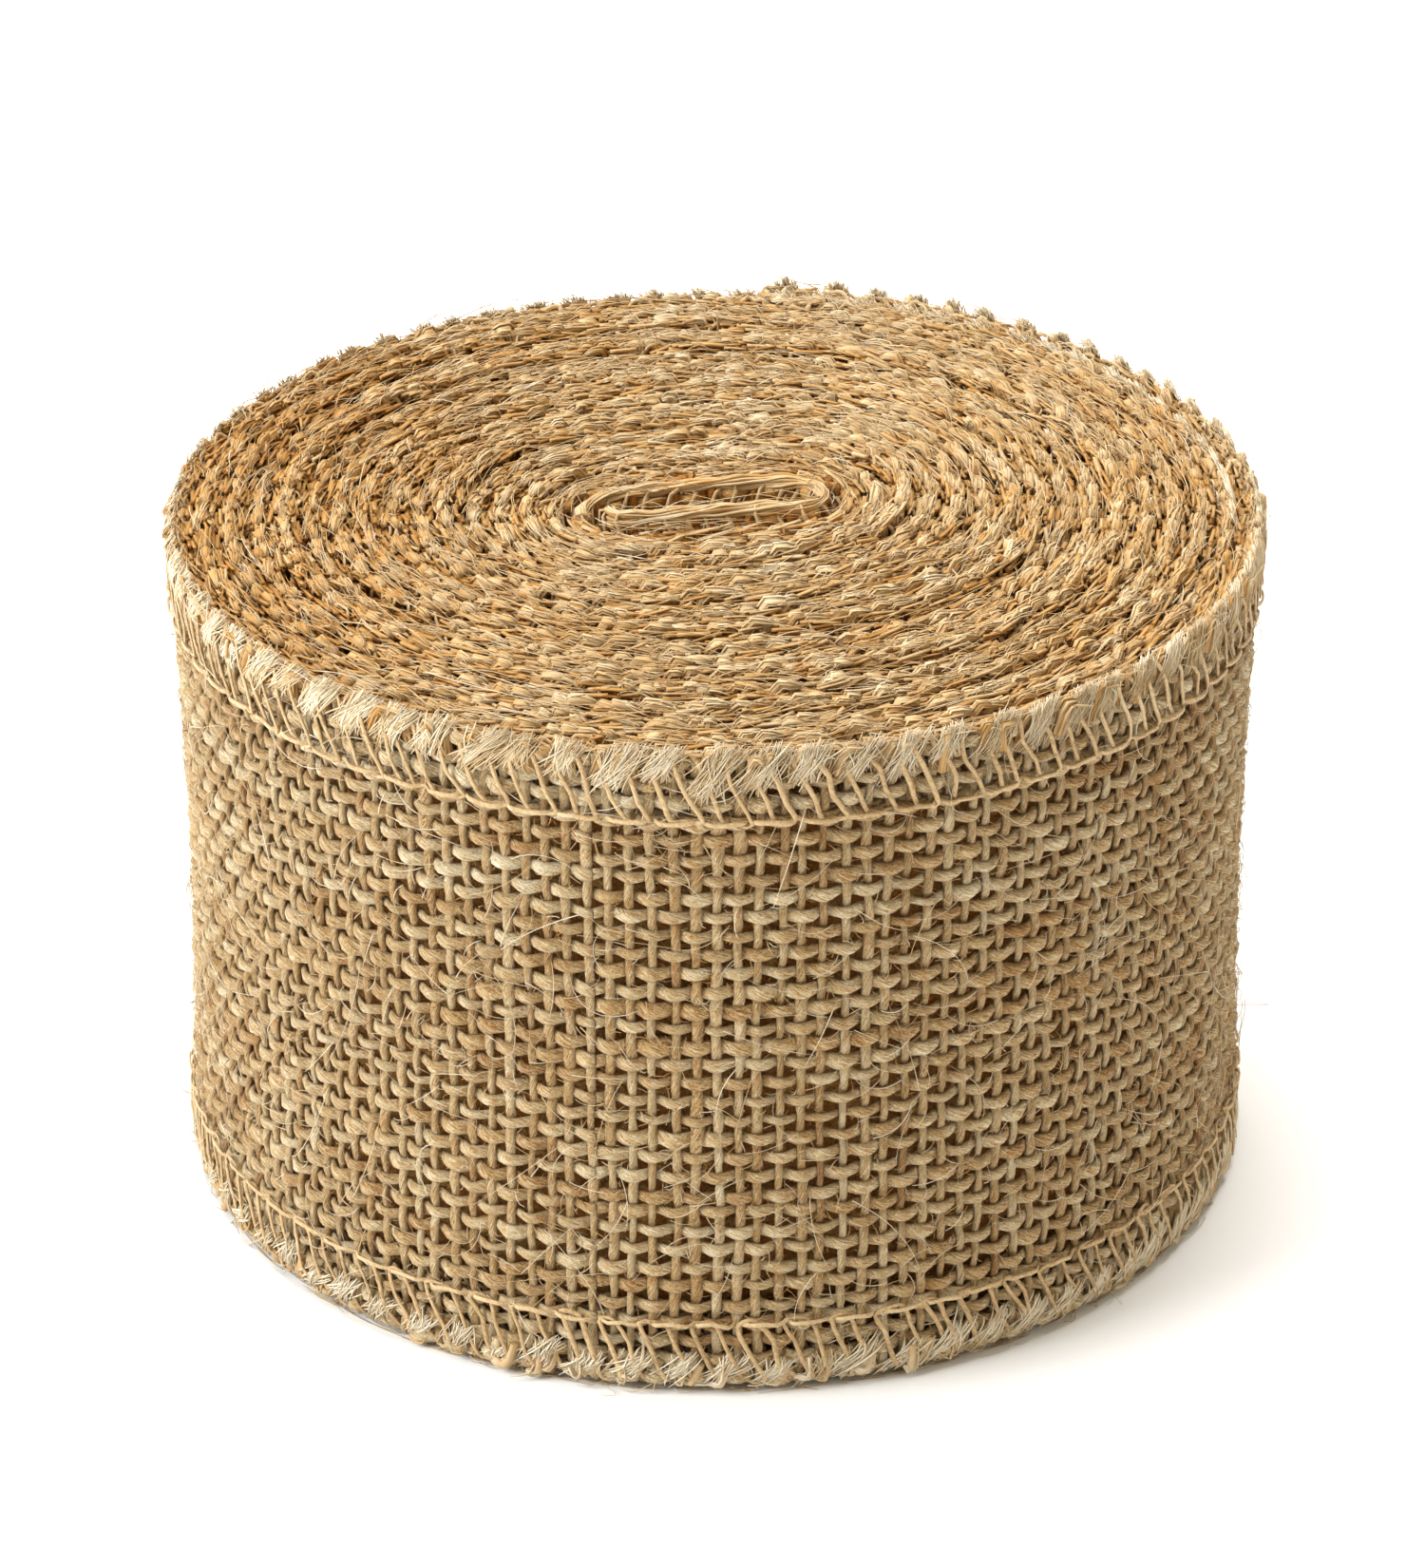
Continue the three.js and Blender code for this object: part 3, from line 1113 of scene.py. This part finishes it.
def makeYarnEnds():
    stubs = []
    for edge in ("top", "bottom"):
        rope = rolledTubes(edge, 0.0, rolledLength)
        join(makePiece(f"coil_{edge}_rolled_edge", [rope], juteFibre), "coil")
        cuts = [*np.linspace(rolledLength, outerLength, ends["pieces"][edge] + 1), coilEnd]
        for n, (first, last) in enumerate(zip(cuts[:-1], cuts[1:])):
            tubes = endTubes(edge, first, last)
            join(makePiece(f"coil_{edge}_yarn_ends_{n + 1}", tubes, juteFibre), "coil")
        brushes = tuftTubes(edge, outerLength, coilEnd)
        join(makePiece(f"coil_{edge}_tufts", [brushes], juteFibre), "coil")
        stubs.append(stubTubes(edge, eyeLength, outerLength))
    join(makePiece("coil_yarn_stubs", stubs, jute), "coil")
    for name, first, last in tailParts:
        last = min(last, ribbonLength)
        tubes = []
        for edge in ("top", "bottom"):
            tubes.extend(endTubes(edge, first, last))
            tubes.append(tuftTubes(edge, first, last))
        join(makePiece(f"{name}_yarn_ends", tubes, juteFibre), name)


makeYarnEnds()
print("yarn ends frayed")


hairs = {
    # stray fibres, counted for each millimetre of ribbon
    "onCloth": 5.0,
    "onEdge": {"top": 0.9, "bottom": 0.6},
    "fuzz": 28.0,
    "fuzzPieces": 2,
    "rings": 8,
    "fuzzRings": 4,
    "edgeRings": 6,
    "radius": 0.055,
    "gathered": 0.3,  # how near the cloth they are held along the edge that the roll stands on
}


def clothHairs(first, last):
    # long fibres that lie loose on the outer face
    count = int((last - first) * hairs["onCloth"])
    rings = hairs["rings"]
    grow = np.linspace(0, 1, rings)[None]
    startAlong = dice.uniform(first, last, (count, 1))
    startUp = dice.uniform(1, width - 1, (count, 1))
    heading = dice.normal(0, 0.75, (count, 1)) + np.pi * dice.integers(0, 2, (count, 1))
    curl = dice.normal(0, 0.9, (count, 1))
    length = 2.0 + dice.gamma(1.5, 2.4, (count, 1))
    angle = heading + curl * grow
    stepLength = length / (rings - 1)
    along = startAlong + np.cumsum(np.cos(angle) * stepLength, axis=1)
    up = startUp + np.cumsum(np.sin(angle) * stepLength, axis=1)
    arch = dice.gamma(2.0, 0.28, (count, 1))
    out = 0.75 + arch * np.sin(np.pi * grow * dice.uniform(0.5, 1.0, (count, 1)))
    up = np.clip(up, 0.2, width + 1)
    along = np.clip(along, first, last + 1)
    thick = hairs["radius"] * (1 - 0.5 * grow) * dice.uniform(0.6, 1.3, (count, 1))
    tone = dice.normal(0.85, 0.2, (count, 1)) + 0 * grow
    return sweepTubes(wrap(along, up, out), facingOut(along), thick, thick, tone, 3, 0.2, 0.6)


def fuzzHairs(first, last):
    # short fibres that stand off the yarns and cross the openings of the weave
    count = int((last - first) * hairs["fuzz"])
    rings = hairs["fuzzRings"]
    grow = np.linspace(0, 1, rings)[None]
    angle = dice.uniform(0, 2 * np.pi, (count, 1)) + dice.normal(0, 0.8, (count, 1)) * grow
    stepLength = dice.uniform(0.6, 2.4, (count, 1)) / (rings - 1)
    along = dice.uniform(first, last, (count, 1)) + np.cumsum(np.cos(angle) * stepLength, axis=1)
    up = dice.uniform(0.5, width - 0.5, (count, 1)) + np.cumsum(np.sin(angle) * stepLength, axis=1)
    out = dice.uniform(-0.1, 0.75, (count, 1)) + dice.normal(0.15, 0.3, (count, 1)) * np.sin(np.pi * grow)
    thick = hairs["radius"] * (1 - 0.4 * grow) * dice.uniform(0.6, 1.1, (count, 1))
    tone = dice.normal(0.55, 0.25, (count, 1)) + 0 * grow
    along = np.clip(along, first, last)
    up = np.clip(up, 0.15, width)
    return sweepTubes(wrap(along, up, out), facingOut(along), thick, thick, tone, 3, 0.2, 0.6)


def edgeHairs(first, last, edge):
    # fibres that lie along the edges and across the turns
    count = int((last - first) * hairs["onEdge"][edge])
    rings = hairs["edgeRings"]
    grow = np.linspace(0, 1, rings)[None]
    startAlong = dice.uniform(first, last, (count, 1))
    length = (2.0 + dice.gamma(2.0, 1.5, (count, 1))) * np.where(dice.random((count, 1)) < 0.5, -1, 1)
    along = np.clip(startAlong + length * grow, 0, last + 0.5)
    rise = dice.gamma(2.0, 0.28, (count, 1))
    up = width - 0.3 + rise * np.sin(np.pi * grow * dice.uniform(0.5, 1.0, (count, 1)))
    out = dice.normal(0, 0.7, (count, 1)) + dice.normal(0, 1.1, (count, 1)) * grow ** 1.5
    if edge == "bottom":
        up = np.maximum(width - up, 0.1)
        out = out * hairs["gathered"]
    thick = hairs["radius"] * (1 - 0.5 * grow) * dice.uniform(0.7, 1.4, (count, 1))
    tone = dice.normal(0.62, 0.15, (count, 1)) + 0 * grow
    return sweepTubes(wrap(along, up, out), facingOut(along), thick, thick, tone, 3, 0.2, 0.6)


def makeHairs():
    join(makePiece("coil_stray_fibres", [clothHairs(outerLength, coilEnd)], juteFibre), "coil")
    tubes = [edgeHairs(0.0, coilEnd, "top"), edgeHairs(outerLength, coilEnd, "bottom")]
    join(makePiece("coil_edge_fibres", tubes, juteFibre), "coil")
    cuts = np.linspace(outerLength, coilEnd, hairs["fuzzPieces"] + 1)
    for n, (first, last) in enumerate(zip(cuts[:-1], cuts[1:])):
        join(makePiece(f"coil_fuzz_{n + 1}", [fuzzHairs(first, last)], juteFibre), "coil")
    for name, first, last in tailParts:
        last = min(last, ribbonLength)
        tubes = [clothHairs(first, last), fuzzHairs(first, last)]
        tubes.extend(edgeHairs(first, last, edge) for edge in ("top", "bottom"))
        join(makePiece(f"{name}_stray_fibres", tubes, juteFibre), name)


makeHairs()
print("stray fibres laid")
